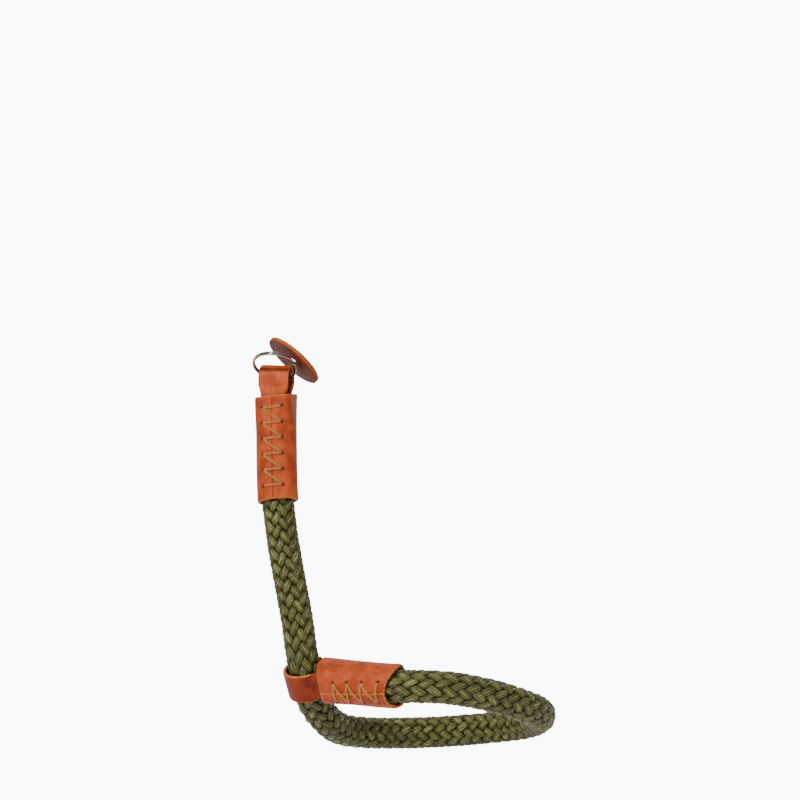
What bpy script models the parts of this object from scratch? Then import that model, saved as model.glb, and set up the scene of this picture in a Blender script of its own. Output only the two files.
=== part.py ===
"""Camera wrist strap: a braided rope noose with leather ends, hung on a split ring. Metres, +Z up.

The strap hangs from its ring as it does in use, with its noose drawn half open. The origin is the
right end of the split ring, where the ring hooks on to what carries it. The viewer looks along +Y,
with +X to the right.
"""

from math import acos, atan2, cos, hypot, pi, radians, sin, sqrt

import bpy
import numpy as np
from mathutils import Matrix, Vector

# Rope
ROPE_DIAMETER = 0.0125
ROPE_POINT_SPACING = 0.0074
LINE_SAMPLES = 4000
HEADING_STEP = 0.0005

# Leather, and the gaps between its pieces: strip in a sleeve, ring in its fold
LEATHER = 0.0014
STRIP_GAP = 0.0008
FOLD_GAP = 0.0009

# Split ring: two turns of flattened wire, which steps from one turn to the other
RING_RADIUS = 0.0083
RING_WIRE_WIDTH = 0.0011
RING_WIRE_HEIGHT = 0.00075
RING_TURN_GAP = 0.00006
RING_STEP_AT = radians(38)
RING_STEP_HALF = radians(20)
RING_RISE = radians(36)
RING_END_PAST_STEP = 1.25
RING_POINTS_A_TURN = 60

# Bumper disc, a leather washer that lies against the ring
DISC_DIAMETER = 0.0246
DISC_THICKNESS = 0.0016
DISC_HOLE = 0.0056
DISC_SLIT = 0.0006
DISC_BEHIND_RING = 0.0011
DISC_FACING = Vector((-0.638, -0.286, -0.715)).normalized()
DISC_SHIFT = Vector((-0.0007, 0, 0.0023))
DISC_SIDES = 64
DISC_HOLE_SIDES = 24
DISC_SLIT_TOWARDS = Vector((0.7, 0, -0.7))

# Leather tab that carries the ring, turned with it, set a little off its middle and below its wire
TAB_WIDTH = 0.0121
TAB_OFF_RING = -0.0009
TAB_DROP = 0.0006
UPPER_TURNED = radians(-15)

# Upper sleeve; its bows are how far its mouth and its other end are cut back in front, and its seam
# shifts are how far the seam lies off the middle of the front at those two ends
UPPER_MOUTH = 0.0072
UPPER_LENGTH = 0.0419
UPPER_MOUTH_HALF = 0.00735
UPPER_STRIP_BEND = 0.0005
UPPER_ROPE_GAP = 0.0004
UPPER_MOUTH_SLANT = 0.12
UPPER_BOWS = (0.0, 0.0)
UPPER_SEAM_SHIFTS = (0.0005, 0.0005)
UPPER_LEG = 0.012

# Lower sleeve and the sliding loop that it holds
LOWER_MOUTH = 0.0066
LOWER_LENGTH = 0.0341
LOWER_MOUTH_HALF = 0.0078
LOWER_STRIP_BEND = 0.0020
LOWER_ROPE_GAP = 0.0009
LOWER_MOUTH_SLANT = 0.0
LOWER_BOWS = (0.0030, 0.0032)
LOWER_SEAM_SHIFTS = (-0.0012, 0.0015)
LOWER_LEG = 0.010
LOWER_ROLL = radians(25)
LOOP_WIDTH = 0.0112
LOOP_SLACK = 0.0010

# Both sleeves: rounded square at the mouth, round at the rope's end, with a butt seam in front
SQUARE_STRETCH = 0.016
SEAM_GAP = 0.00043
SLEEVE_SIDES = 36
SLEEVE_ROWS = 12

STRIP_COLUMNS = 10
FOLD_ROWS = 18
LEG_ROWS = 12
LEG_EASE = 0.001
LEAST_CURL = 0.02
TAB_CURL_EASE = 2.2
LOOP_CURL_EASE = 1.0

# The rope's middle line, from under the fold of the tab, down, through the sliding loop, round the
# noose and back through the lower sleeve to the middle of the sliding loop
ROUTE = (
    (-0.0077, 0.0075, -0.0110),
    (-0.0075, 0.0064, -0.0270),
    (-0.0072, 0.0041, -0.0420),
    (-0.0066, 0.0018, -0.0530),
    (-0.0040, -0.0027, -0.0716),
    (-0.0010, -0.0063, -0.0869),
    (0.0018, -0.0092, -0.1022),
    (0.0035, -0.0098, -0.1135),
    (0.0054, -0.0080, -0.1213),
    (0.0068, -0.0029, -0.1294),
    (0.0112, 0.0050, -0.1375),
    (0.0176, 0.0175, -0.1437),
    (0.0285, 0.0290, -0.1468),
    (0.0420, 0.0375, -0.1480),
    (0.0570, 0.0410, -0.1480),
    (0.0720, 0.0390, -0.1466),
    (0.0850, 0.0305, -0.1442),
    (0.0933, 0.0175, -0.1408),
    (0.0955, 0.0022, -0.1361),
    (0.0894, -0.0120, -0.1313),
    (0.0829, -0.0183, -0.1284),
    (0.0702, -0.0258, -0.1244),
    (0.0560, -0.0290, -0.1220),
    (0.0412, -0.0270, -0.1219),
    (0.0260, -0.0193, -0.1216),
    (0.0119, -0.0116, -0.1213),
    (0.0052, -0.0077, -0.1213),
)


def linear(red, green, blue):
    """An sRGB colour, 0 to 255, as the linear colour that a shader takes."""
    return tuple((value / 255) ** 2.2 for value in (red, green, blue))


def material(name, colour, roughness, metallic=0.0):
    made = bpy.data.materials.new(name)
    made.use_nodes = True
    shader = made.node_tree.nodes["Principled BSDF"]
    shader.inputs["Base Color"].default_value = (*colour, 1)
    shader.inputs["Roughness"].default_value = roughness
    shader.inputs["Metallic"].default_value = metallic
    return made


def new_collection(name):
    made = bpy.data.collections.new(name)
    bpy.context.scene.collection.children.link(made)
    return made


def placed(name, data, collection, finish=None, parent=None):
    """A new object in a collection, which keeps its place in the world under its parent."""
    made = bpy.data.objects.new(name, data)
    collection.objects.link(made)
    if finish:
        data.materials.append(finish)
    if parent:
        made.parent = parent
        made.matrix_parent_inverse = parent.matrix_world.inverted()
    return made


class SmoothLine:
    """A natural cubic spline through points, read by the length along it, and straight past its ends."""

    def __init__(self, points):
        points = np.array(points)
        spans = np.linalg.norm(np.diff(points, axis=0), axis=1)
        knots = np.concatenate([[0], np.cumsum(spans)])
        system = np.eye(len(points))
        pull = np.zeros_like(points)
        for i in range(1, len(points) - 1):
            system[i, i - 1 : i + 2] = spans[i - 1], 2 * (spans[i - 1] + spans[i]), spans[i]
            pull[i] = 6 * ((points[i + 1] - points[i]) / spans[i] - (points[i] - points[i - 1]) / spans[i - 1])
        bend = np.linalg.solve(system, pull)
        samples = np.linspace(0, knots[-1], LINE_SAMPLES)
        span = np.clip(np.searchsorted(knots, samples, side="right") - 1, 0, len(spans) - 1)
        width = spans[span][:, None]
        after = (samples - knots[span])[:, None] / width
        before = 1 - after
        self.line = before * points[span] + after * points[span + 1]
        self.line += ((before**3 - before) * bend[span] + (after**3 - after) * bend[span + 1]) * width**2 / 6
        steps = np.linalg.norm(np.diff(self.line, axis=0), axis=1)
        self.lengths = np.concatenate([[0], np.cumsum(steps)])
        self.length = float(self.lengths[-1])

    def at(self, distance):
        inside = min(max(distance, 0), self.length)
        point = Vector([np.interp(inside, self.lengths, self.line[:, axis]) for axis in range(3)])
        return point + (distance - inside) * self.heading(inside)

    def heading(self, distance):
        here = min(max(distance, HEADING_STEP), self.length - HEADING_STEP)
        ends = [
            [np.interp(place, self.lengths, self.line[:, axis]) for axis in range(3)]
            for place in (here - HEADING_STEP, here + HEADING_STEP)
        ]
        return (Vector(ends[1]) - Vector(ends[0])).normalized()


class Axis:
    """The middle line of a sleeve: a length from its fold, across to the front, and sideways."""

    def __init__(self, line, sideways, from_end=False):
        self.line = line
        self.sideways = sideways
        self.from_end = from_end

    def place(self, along, across, side):
        distance = self.line.length - along if self.from_end else along
        heading = self.line.heading(distance) * (-1 if self.from_end else 1)
        sideways = (self.sideways - self.sideways.dot(heading) * heading).normalized()
        return self.line.at(distance) + across * heading.cross(sideways) + side * sideways


def rounded_square(half, corner, share):
    """(sideways, front) at a share of the way round a rounded square, from the middle of its front."""
    flat = half - corner
    quarter = 2 * flat + corner * pi / 2
    turned, left = divmod((share % 1) * 4 * quarter, quarter)
    if left < flat:
        point = (left, half)
    elif left < quarter - flat:
        angle = (left - flat) / corner
        point = (flat + corner * sin(angle), flat + corner * cos(angle))
    else:
        point = (half, quarter - left)
    for _ in range(int(turned)):
        point = (point[1], -point[0])
    return point


def sleeve_section(shape, depth):
    """(half, corner) of the middle of a sleeve's wall, at this depth inside its mouth."""
    mouth_half, strip_bend, rope_gap = shape
    round_radius = ROPE_DIAMETER / 2 + rope_gap + LEATHER / 2
    share = min(max(depth / SQUARE_STRETCH, 0), 1)
    share = share * share * (3 - 2 * share)
    half = (mouth_half - LEATHER / 2) * (1 - share) + round_radius * share
    corner = (strip_bend + LEATHER + STRIP_GAP) * (1 - share) + round_radius * share
    return half, corner


def leather(name, rows, finish, collection, parent):
    """A sheet through rows of points, made as thick as the leather."""
    count = len(rows[0])
    faces = [
        (row * count + i, row * count + i + 1, (row + 1) * count + i + 1, (row + 1) * count + i)
        for row in range(len(rows) - 1)
        for i in range(count - 1)
    ]
    mesh = bpy.data.meshes.new(name)
    mesh.from_pydata([point for row in rows for point in row], [], faces)
    mesh.shade_smooth()
    sheet = placed(name, mesh, collection, finish, parent)
    wall = sheet.modifiers.new("leather", "SOLIDIFY")
    wall.thickness = LEATHER
    wall.offset = 0
    wall.use_even_offset = True
    return sheet


def sleeve(name, axis, mouth, length, shape, slant, bows, seam_shifts, finish, collection, parent):
    """A sheet rolled round the rope's end, whose two edges meet in a seam at the front."""
    rows = []
    for row in range(SLEEVE_ROWS + 1):
        depth = length * row / SLEEVE_ROWS
        half, corner = sleeve_section(shape, depth)
        girth = 8 * (half - corner) + 2 * pi * corner
        seam = SEAM_GAP / 2 / girth
        lean = slant * (1 - depth / length)
        bow = bows[0] * (1 - depth / length) - bows[1] * depth / length
        shift = seam_shifts[0] * (1 - depth / length) + seam_shifts[1] * depth / length
        line = []
        for i in range(SLEEVE_SIDES + 1):
            share = shift / girth + seam + (1 - 2 * seam) * i / SLEEVE_SIDES
            side, front = rounded_square(half, corner, share)
            cut_back = bow * max(front / half, 0)
            line.append(axis.place(mouth + depth - lean * side + cut_back, front, side))
        rows.append(line)
    return leather(name, rows, finish, collection, parent)


def folded_strip(name, axis, width, fold_radius, mouth, shape, leg, curl_ease, finish, collection, parent):
    """A strip folded over a bar, with both legs held against the inside of a sleeve's mouth."""
    inset = LEATHER + STRIP_GAP
    mouth_gap = shape[0] - LEATHER / 2 - inset
    leave = atan2(mouth_gap, mouth) + acos(fold_radius / hypot(mouth, mouth_gap))
    leave_along = fold_radius * cos(leave)
    slope = (mouth_gap - fold_radius * sin(leave)) / (mouth - leave_along)
    front_leg = []
    for i in range(LEG_ROWS):
        along = mouth + leg + (leave_along - mouth - leg) * i / LEG_ROWS
        half, corner = sleeve_section(shape, along - mouth)
        to_mouth = mouth - along
        easing = (to_mouth + sqrt(to_mouth**2 + LEG_EASE**2)) / 2
        front_leg.append((along, half - inset - slope * easing, half - inset, corner - inset))
    stations = list(front_leg)
    for i in range(FOLD_ROWS + 1):
        angle = leave + 2 * (pi - leave) * i / FOLD_ROWS
        stations.append((fold_radius * cos(angle), fold_radius * sin(angle), None, None))
    stations += [(along, -across, half, corner) for along, across, half, corner in reversed(front_leg)]
    rows = []
    for along, across, half, corner in stations:
        line = []
        for i in range(STRIP_COLUMNS + 1):
            offset = width * (i / STRIP_COLUMNS - 0.5)
            side, drop = offset, 0.0
            past_flat = abs(offset) - (half - corner) if half else 0.0
            if past_flat > 0:
                towards_mouth = min(max((along - leave_along) / (mouth - leave_along), LEAST_CURL), 1)
                curl = max(towards_mouth**curl_ease, LEAST_CURL) / corner
                side = (half - corner + sin(curl * past_flat) / curl) * (1 if offset > 0 else -1)
                drop = (1 - cos(curl * past_flat)) / curl
            line.append(axis.place(along, across - (drop if across > 0 else -drop), side))
        rows.append(line)
    return leather(name, rows, finish, collection, parent)


def rope(line, start, end, finish, collection, parent):
    """A round tube along the rope's middle line, between two lengths along it."""
    count = round((end - start) / ROPE_POINT_SPACING)
    curve = bpy.data.curves.new("rope", "CURVE")
    curve.dimensions = "3D"
    curve.bevel_depth = ROPE_DIAMETER / 2
    curve.bevel_resolution = 4
    curve.use_fill_caps = True
    spline = curve.splines.new("POLY")
    spline.points.add(count)
    for i, point in enumerate(spline.points):
        point.co = (*line.at(start + (end - start) * i / count), 1)
    return placed("rope", curve, collection, finish, parent)


def ring_frame():
    """The split ring's own axes: X along the tab's fold to the origin, Z through the ring."""
    right = Vector((cos(UPPER_TURNED), sin(UPPER_TURNED), 0))
    towards_viewer = Vector((sin(UPPER_TURNED), -cos(UPPER_TURNED), 0))
    up = cos(RING_RISE) * towards_viewer + sin(RING_RISE) * Vector((0, 0, 1))
    frame = Matrix((right, up, right.cross(up))).transposed().to_4x4()
    frame.translation = -RING_RADIUS * right
    return frame


def tab_fold():
    """The middle of the tab's fold, and the fold's inner radius: it clears the ring as this swings."""
    frame = ring_frame()
    edge = TAB_WIDTH / 2 + abs(TAB_OFF_RING)
    at_edge = sqrt(RING_RADIUS**2 - edge**2)
    middle = frame @ Vector((TAB_OFF_RING, -(RING_RADIUS + at_edge) / 2, 0)) - Vector((0, 0, TAB_DROP))
    reach = (RING_RADIUS - at_edge) / 2 + RING_WIRE_WIDTH / 2
    return middle, hypot(reach, RING_WIRE_HEIGHT + RING_TURN_GAP / 2) + FOLD_GAP


def split_ring(finish, collection):
    """Two turns of one wire, whose ends lie on either side of the step between the turns."""
    flattened = RING_WIRE_HEIGHT / RING_WIRE_WIDTH
    lift = (RING_WIRE_HEIGHT + RING_TURN_GAP) / 2 / flattened
    curve = bpy.data.curves.new("split_ring", "CURVE")
    curve.dimensions = "3D"
    curve.bevel_depth = RING_WIRE_WIDTH / 2
    curve.bevel_resolution = 2
    curve.use_fill_caps = True
    curve.twist_mode = "Z_UP"
    spline = curve.splines.new("POLY")
    spline.points.add(2 * RING_POINTS_A_TURN)
    first = -2 * pi + RING_STEP_HALF * RING_END_PAST_STEP
    for i, point in enumerate(spline.points):
        angle = first * (1 - i / RING_POINTS_A_TURN)
        step = min(max(angle / RING_STEP_HALF, -1), 1)
        height = lift * sin(step * pi / 2)
        around = RING_STEP_AT + angle
        point.co = (RING_RADIUS * cos(around), RING_RADIUS * sin(around), height, 1)
    ring = placed("split_ring", curve, collection, finish)
    ring.matrix_world = ring_frame() @ Matrix.Diagonal((1, 1, flattened, 1))
    return ring


def disc_frame():
    """The disc's own axes: Z out of the face that the ring lies against, X along its slit."""
    ring_axis = ring_frame().to_3x3()
    ring_reach = abs(ring_axis.col[0].dot(DISC_FACING)) * RING_WIRE_WIDTH / 2
    ring_reach += abs(ring_axis.col[2].dot(DISC_FACING)) * (RING_WIRE_HEIGHT + RING_TURN_GAP / 2)
    behind = ring_reach + DISC_BEHIND_RING + DISC_THICKNESS / 2
    centre = DISC_SHIFT.copy()
    centre.y = -(behind + centre.dot(DISC_FACING)) / DISC_FACING.y
    slit = (DISC_SLIT_TOWARDS - DISC_SLIT_TOWARDS.dot(DISC_FACING) * DISC_FACING).normalized()
    frame = Matrix((slit, DISC_FACING.cross(slit), DISC_FACING)).transposed().to_4x4()
    frame.translation = centre
    return frame


def bumper_disc(finish, collection, cutters):
    """A leather washer with a hole in the middle, and a slit from the hole to its edge."""
    frame = disc_frame()
    bpy.ops.mesh.primitive_cylinder_add(vertices=DISC_SIDES, radius=DISC_DIAMETER / 2, depth=DISC_THICKNESS)
    disc = bpy.context.object
    disc.name = "bumper_disc"
    disc.matrix_world = frame
    disc.data.materials.append(finish)
    bpy.ops.mesh.primitive_cylinder_add(vertices=DISC_HOLE_SIDES, radius=DISC_HOLE / 2, depth=3 * DISC_THICKNESS)
    hole = bpy.context.object
    hole.name = "disc_hole"
    hole.matrix_world = frame
    bpy.ops.mesh.primitive_cube_add(size=1)
    slit = bpy.context.object
    slit.name = "disc_slit"
    slit.matrix_world = (
        frame
        @ Matrix.Translation((DISC_DIAMETER / 2, 0, 0))
        @ Matrix.Diagonal((DISC_DIAMETER, DISC_SLIT, 3 * DISC_THICKNESS, 1))
    )
    for cutter in (hole, slit):
        cutter.hide_render = True
        cutter.display_type = "WIRE"
        cut = disc.modifiers.new(cutter.name, "BOOLEAN")
        cut.operation = "DIFFERENCE"
        cut.object = cutter
    for made, home in ((disc, collection), (hole, cutters), (slit, cutters)):
        for old in list(made.users_collection):
            old.objects.unlink(made)
        home.objects.link(made)
    return disc


def build():
    for old in list(bpy.data.objects):
        bpy.data.objects.remove(old)
    strap = new_collection("camera_wrist_strap")
    cutters = new_collection("cutters")
    tan_leather = material("tan_leather", linear(190, 92, 48), 0.5)
    band_leather = material("band_leather", linear(176, 80, 40), 0.5)
    disc_leather = material("disc_leather", linear(150, 72, 48), 0.5)
    green_rope = material("green_rope", linear(86, 92, 46), 0.7)
    nickel = material("nickel", linear(205, 200, 190), 0.25, 1.0)

    fold_middle, fold_inside = tab_fold()
    line = SmoothLine((fold_middle, *ROUTE))
    swing = placed("ring_swing_axis", None, strap)
    swing.location = fold_middle
    bpy.context.view_layer.update()

    split_ring(nickel, strap)
    bumper_disc(disc_leather, strap, cutters)

    upper = Axis(line, Vector((cos(UPPER_TURNED), sin(UPPER_TURNED), 0)))
    along_lower = -line.heading(line.length)
    level_front = Vector((along_lower.y, -along_lower.x, 0)).normalized()
    lower_side = cos(LOWER_ROLL) * Vector((0, 0, 1)) + sin(LOWER_ROLL) * level_front
    lower = Axis(line, lower_side, from_end=True)

    held = (strap, swing)
    tab_radius = fold_inside + LEATHER / 2
    loop_radius = ROPE_DIAMETER / 2 + LOOP_SLACK + LEATHER / 2
    upper_shape = (UPPER_MOUTH_HALF, UPPER_STRIP_BEND, UPPER_ROPE_GAP)
    lower_shape = (LOWER_MOUTH_HALF, LOWER_STRIP_BEND, LOWER_ROPE_GAP)
    folded_strip(
        "ring_tab",
        upper,
        TAB_WIDTH,
        tab_radius,
        UPPER_MOUTH,
        upper_shape,
        UPPER_LEG,
        TAB_CURL_EASE,
        tan_leather,
        *held,
    )
    sleeve(
        "upper_sleeve",
        upper,
        UPPER_MOUTH,
        UPPER_LENGTH,
        upper_shape,
        UPPER_MOUTH_SLANT,
        UPPER_BOWS,
        UPPER_SEAM_SHIFTS,
        tan_leather,
        *held,
    )
    folded_strip(
        "sliding_loop",
        lower,
        LOOP_WIDTH,
        loop_radius,
        LOWER_MOUTH,
        lower_shape,
        LOWER_LEG,
        LOOP_CURL_EASE,
        band_leather,
        *held,
    )
    sleeve(
        "lower_sleeve",
        lower,
        LOWER_MOUTH,
        LOWER_LENGTH,
        lower_shape,
        LOWER_MOUTH_SLANT,
        LOWER_BOWS,
        LOWER_SEAM_SHIFTS,
        tan_leather,
        *held,
    )
    rope_start = UPPER_MOUTH + UPPER_LEG + STRIP_GAP
    rope_end = line.length - LOWER_MOUTH - LOWER_LEG - STRIP_GAP
    rope(line, rope_start, rope_end, green_rope, *held)


build()
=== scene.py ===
"""Wrist strap: a braided rope noose with stitched leather ends, hung on a split ring.

Metres, +Z up. The viewer looks along +Y, with +X to the right. Each piece has its own section.
"""

from math import acos, asin, atan2, cos, hypot, pi, radians, sin, sqrt

import bmesh
import bpy
import numpy as np
from mathutils import Matrix, Vector


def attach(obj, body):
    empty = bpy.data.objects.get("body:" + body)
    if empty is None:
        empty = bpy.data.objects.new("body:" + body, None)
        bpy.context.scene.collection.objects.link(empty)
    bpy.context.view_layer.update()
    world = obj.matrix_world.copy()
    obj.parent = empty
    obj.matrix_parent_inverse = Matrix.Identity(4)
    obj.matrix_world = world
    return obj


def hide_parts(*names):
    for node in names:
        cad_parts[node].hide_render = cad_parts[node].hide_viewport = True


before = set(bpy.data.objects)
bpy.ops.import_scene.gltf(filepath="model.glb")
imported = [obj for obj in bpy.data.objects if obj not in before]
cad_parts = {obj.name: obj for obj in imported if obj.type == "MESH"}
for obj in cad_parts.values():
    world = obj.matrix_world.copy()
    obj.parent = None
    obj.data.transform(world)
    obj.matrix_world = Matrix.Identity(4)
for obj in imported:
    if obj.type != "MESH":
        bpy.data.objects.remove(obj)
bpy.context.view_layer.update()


# View: level and straight along +Y, a metre in front of the strap's top,
# with the whole strap in the lower part of the picture.
VIEW_DISTANCE = 1.0
VIEW_CENTRE = (0.04097, -0.01327)
VIEW_WIDTH = 0.312
VIEW_NEAREST = 0.01
SENSOR_WIDTH = 36

view_data = bpy.data.cameras.new("view")
view_data.sensor_width = SENSOR_WIDTH
view_data.lens = SENSOR_WIDTH * VIEW_DISTANCE / VIEW_WIDTH
view_data.clip_start = VIEW_NEAREST
view = bpy.data.objects.new("view", view_data)
bpy.context.scene.collection.objects.link(view)
view.location = (VIEW_CENTRE[0], -VIEW_DISTANCE, VIEW_CENTRE[1])
view.rotation_euler = (pi / 2, 0, 0)
bpy.context.scene.camera = view


# Rope: a round braid of twenty-four strands, three plump glossy yarns in each, over a core painted in the
# darkest colour as the shade in the gaps.
# Each strand passes over two and under two, so the surface is rows of slanting grains in columns.
# It comes out of the upper sleeve, passes through the sliding loop and ends in the lower sleeve.
FOLD_MIDDLE = (-0.0075425, 0.007397, -0.0043728)
ROUTE = (
    (-0.0077, 0.0075, -0.0110),
    (-0.0075, 0.0064, -0.0270),
    (-0.0072, 0.0041, -0.0420),
    (-0.0066, 0.0018, -0.0530),
    (-0.0040, -0.0027, -0.0716),
    (-0.0010, -0.0063, -0.0869),
    (0.0018, -0.0092, -0.1022),
    (0.0035, -0.0098, -0.1135),
    (0.0054, -0.0080, -0.1213),
    (0.0068, -0.0029, -0.1294),
    (0.0112, 0.0050, -0.1375),
    (0.0176, 0.0175, -0.1437),
    (0.0285, 0.0290, -0.1468),
    (0.0420, 0.0375, -0.1480),
    (0.0570, 0.0410, -0.1480),
    (0.0720, 0.0390, -0.1466),
    (0.0850, 0.0305, -0.1442),
    (0.0933, 0.0175, -0.1408),
    (0.0955, 0.0022, -0.1361),
    (0.0894, -0.0120, -0.1313),
    (0.0829, -0.0183, -0.1284),
    (0.0702, -0.0258, -0.1244),
    (0.0560, -0.0290, -0.1220),
    (0.0412, -0.0270, -0.1219),
    (0.0260, -0.0193, -0.1216),
    (0.0119, -0.0116, -0.1213),
    (0.0052, -0.0077, -0.1213),
)
ROPE_DIAMETER = 0.0125
UPPER_ROPE_EXIT = 0.0491
LOWER_ROPE_EXIT = 0.0414
ROPE_INSIDE_SLEEVE = 0.006
LINE_SAMPLES = 4000
BRAID_COLUMNS = 12
BRAID_SEED = 7
PICK_PITCH = 0.0054
PICK_LEAN = radians(36)
PICK_HALF_LENGTH = 0.0040
PICK_TIP_SLIMMING = 0.16
PICK_CROWN = 0.0006
PICK_CREST = 0.00655
PICK_DROP = 0.0018
PICK_DROP_POWER = 2.8
PICK_STEPS = 11
STRAND_HALF_WIDTH = 0.00156
YARNS = 3
YARN_HEIGHT = 0.0005
YARN_POINTS = (0, 0.13, 0.5, 0.87)
LEAST_RADIUS = 0.0046
WIDTH_VARIES = 0.03
YARN_HEIGHT_VARIES = 0.06
PLACE_VARIES = 0.0001
TURN_VARIES = 0.00012
FILAMENT_SPAN = 0.01
FILAMENT_SHIFT = 0.05
FILAMENT_TWIST = 0.9
FILAMENT_STRETCH = (40, 1.2, 1)
LEAST_TONE = 0.49
MOST_TONE = 0.55
# Painted light in the rope's tone: a highlight along the yarns' crests, and shade at the picks' ends and
# sides.
CREST_PAINTED_HIGHLIGHT = 0.16
CREST_FROM = 0.7
END_SHADE = 0.32
SIDE_SHADE = 0.22
CORE_RADIUS = 0.0050
CORE_ROWS = 160
CORE_SIDES = 20


class StrapLine:
    """The strap's middle line: a smooth curve through its points, read by the length along it."""

    def __init__(self, points):
        points = np.array(points)
        spans = np.linalg.norm(np.diff(points, axis=0), axis=1)
        knots = np.concatenate([[0], np.cumsum(spans)])
        system = np.eye(len(points))
        pull = np.zeros_like(points)
        for i in range(1, len(points) - 1):
            system[i, i - 1 : i + 2] = spans[i - 1], 2 * (spans[i - 1] + spans[i]), spans[i]
            ahead = (points[i + 1] - points[i]) / spans[i]
            behind = (points[i] - points[i - 1]) / spans[i - 1]
            pull[i] = 6 * (ahead - behind)
        bend = np.linalg.solve(system, pull)
        samples = np.linspace(0, knots[-1], LINE_SAMPLES)
        span = np.clip(np.searchsorted(knots, samples, side="right") - 1, 0, len(spans) - 1)
        width = spans[span][:, None]
        after = (samples - knots[span])[:, None] / width
        before = 1 - after
        self.line = before * points[span] + after * points[span + 1]
        sag = (before**3 - before) * bend[span] + (after**3 - after) * bend[span + 1]
        self.line += sag * width**2 / 6
        steps = np.linalg.norm(np.diff(self.line, axis=0), axis=1)
        self.lengths = np.concatenate([[0], np.cumsum(steps)])
        self.length = float(self.lengths[-1])
        self.headings = np.gradient(self.line, axis=0)
        self.headings /= np.linalg.norm(self.headings, axis=1)[:, None]
        front = np.array([0, -1.0, 0])
        self.fronts = np.zeros_like(self.line)
        for i, heading in enumerate(self.headings):
            front = front - front.dot(heading) * heading
            front /= np.linalg.norm(front)
            self.fronts[i] = front

    def read(self, table, distances):
        columns = [np.interp(distances, self.lengths, table[:, axis]) for axis in range(3)]
        return np.stack(columns, axis=-1)

    def at(self, distances):
        inside = np.clip(distances, 0, self.length)
        return self.read(self.line, inside) + (distances - inside)[..., None] * self.heading(inside)

    def heading(self, distances):
        found = self.read(self.headings, np.clip(distances, 0, self.length))
        return found / np.linalg.norm(found, axis=-1)[..., None]

    def round(self, distances, angles, radii):
        """Points on a tube round the line; angle 0 is its front, and turns towards its right."""
        ahead = self.heading(distances)
        front = self.read(self.fronts, distances)
        front -= (front * ahead).sum(-1)[..., None] * ahead
        front /= np.linalg.norm(front, axis=-1)[..., None]
        right = np.cross(front, ahead)
        out = np.cos(angles)[..., None] * front + np.sin(angles)[..., None] * right
        return self.at(distances) + radii[..., None] * out


def grid_faces(rows, columns, first=0, closed=False):
    """The quads of a grid of points, row by row."""
    around = columns if closed else columns - 1
    row, column = np.meshgrid(np.arange(rows - 1), np.arange(around), indexing="ij")
    right = (column + 1) % columns
    quads = np.stack([row * columns + column, row * columns + right], axis=-1)
    quads = np.concatenate([quads, quads[..., ::-1] + columns], axis=-1)
    return (quads.reshape(-1, 4) + first).tolist()


def new_piece(name, points, faces, uvs=None, marks=None):
    """A smooth mesh object; uvs and marks hold one value for each point."""
    mesh = bpy.data.meshes.new(name)
    mesh.from_pydata(np.asarray(points).reshape(-1, 3).tolist(), [], faces)
    mesh.shade_smooth()
    corners = np.zeros(len(mesh.loops), np.int32)
    mesh.loops.foreach_get("vertex_index", corners)
    if uvs is not None:
        layer = mesh.uv_layers.new(name="along")
        layer.data.foreach_set("uv", np.asarray(uvs, np.float32)[corners].ravel())
    for mark, values in (marks or {}).items():
        attribute = mesh.attributes.new(mark, "FLOAT", "POINT")
        attribute.data.foreach_set("value", np.asarray(values, np.float32))
    piece = bpy.data.objects.new(name, mesh)
    bpy.context.scene.collection.objects.link(piece)
    return piece


def outward(piece, weld=0.0):
    """Turns a closed mesh's faces so that they all face out; points closer than weld are joined first."""
    work = bmesh.new()
    work.from_mesh(piece.data)
    if weld:
        bmesh.ops.remove_doubles(work, verts=work.verts, dist=weld)
    bmesh.ops.recalc_face_normals(work, faces=work.faces)
    work.to_mesh(piece.data)
    work.free()


strap_line = StrapLine((FOLD_MIDDLE, *ROUTE))
rope_start = UPPER_ROPE_EXIT - ROPE_INSIDE_SLEEVE
rope_end = strap_line.length - LOWER_ROPE_EXIT + ROPE_INSIDE_SLEEVE
column_turn = 2 * pi / BRAID_COLUMNS
random = np.random.default_rng(BRAID_SEED)


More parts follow.
